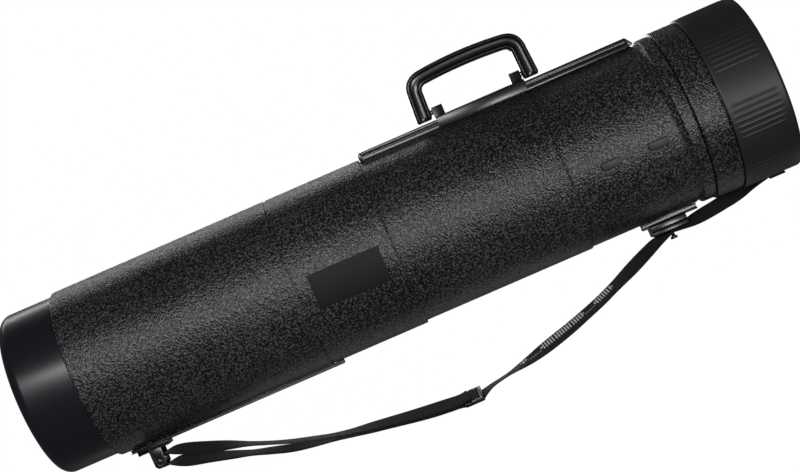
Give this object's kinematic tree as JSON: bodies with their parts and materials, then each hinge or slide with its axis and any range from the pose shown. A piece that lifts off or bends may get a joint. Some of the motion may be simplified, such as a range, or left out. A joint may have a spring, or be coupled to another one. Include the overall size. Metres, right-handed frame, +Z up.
{
  "type": "portfolio case",
  "caption": "Telescoping drawing tube case with a removable cap, a folding carry handle that slides on a rail, and a webbing shoulder strap.",
  "frame": {"origin": "under the middle of the handle's grip bar, where the hand holds the case", "axes": "+X along the tube towards the removable top cap, +Z up through the handle, the strap hangs towards -Z, the label faces -Y"},
  "size_m": [0.738, 0.168, 0.3072],
  "materials": {
    "grained_shell": "leather-grained black polyethylene, glossy on the tops of the grain",
    "satin_shell": "smooth satin black",
    "ribbed_cap": "satin warm black with fine ribs",
    "label": "blank smooth black",
    "gloss_moulding": "semi-gloss moulded black",
    "webbing": "woven webbing",
    "foam": "closed-cell foam",
    "rivet_metal": "plain steel"
  },
  "bodies": {
    "inner_tube": {"inner_tube": "grained_shell", "tube_stop_ring": "foam", "neck_collar": "grained_shell", "index_lug_1": "satin_shell", "index_lug_2": "satin_shell", "handle_rail": "gloss_moulding", "rail_stop_sleeve_end": "gloss_moulding", "rail_stop_cap_end": "gloss_moulding", "rail_rivet_1": "rivet_metal", "rail_rivet_2": "rivet_metal", "rail_rivet_3": "rivet_metal", "upper_strap_rail": "gloss_moulding", "strap_rail_rivet_1": "rivet_metal", "strap_rail_rivet_2": "rivet_metal", "upper_bracket": "gloss_moulding", "strap_stud": "gloss_moulding", "strap_upper_run": "webbing", "strap_tail": "webbing"},
    "outer_sleeve": {"outer_sleeve": "grained_shell", "bottom_cap": "satin_shell", "bottom_pad": "foam", "sleeve_mouth_ring": "foam", "label_plate": "label", "lower_strap_rail": "gloss_moulding", "lower_bracket": "gloss_moulding", "strap_bar": "gloss_moulding", "strap_lower_run": "webbing", "strap_return_run": "webbing", "strap_slider": "gloss_moulding"},
    "handle_carrier": {"handle_carrier": "gloss_moulding"},
    "carry_handle": {"carry_handle": "gloss_moulding", "handle_pin_1": "rivet_metal", "handle_pin_2": "rivet_metal"},
    "top_cap": {"top_cap": "ribbed_cap", "cap_seal": "foam", "cap_strap_plate": "satin_shell", "cap_strap_rivet": "rivet_metal"}
  },
  "joints": [
    {"name": "telescope", "type": "slide", "parent": "inner_tube", "child": "outer_sleeve", "axis": [-1, 0, 0], "range_m": [0, 0.24], "deforming": ["strap_upper_run"]},
    {"name": "carrier_slide", "type": "slide", "parent": "inner_tube", "child": "handle_carrier", "axis": [1, 0, 0], "range_m": [-0.074, 0.098]},
    {"name": "handle_fold", "type": "hinge", "parent": "handle_carrier", "child": "carry_handle", "pos_m": [0, 0, -0.0287], "axis": [1, 0, 0], "range_deg": [-90, 90]},
    {"name": "cap_pull", "type": "slide", "parent": "inner_tube", "child": "top_cap", "axis": [1, 0, 0], "range_m": [0, 0.06], "deforming": ["strap_tail"]}
  ]
}
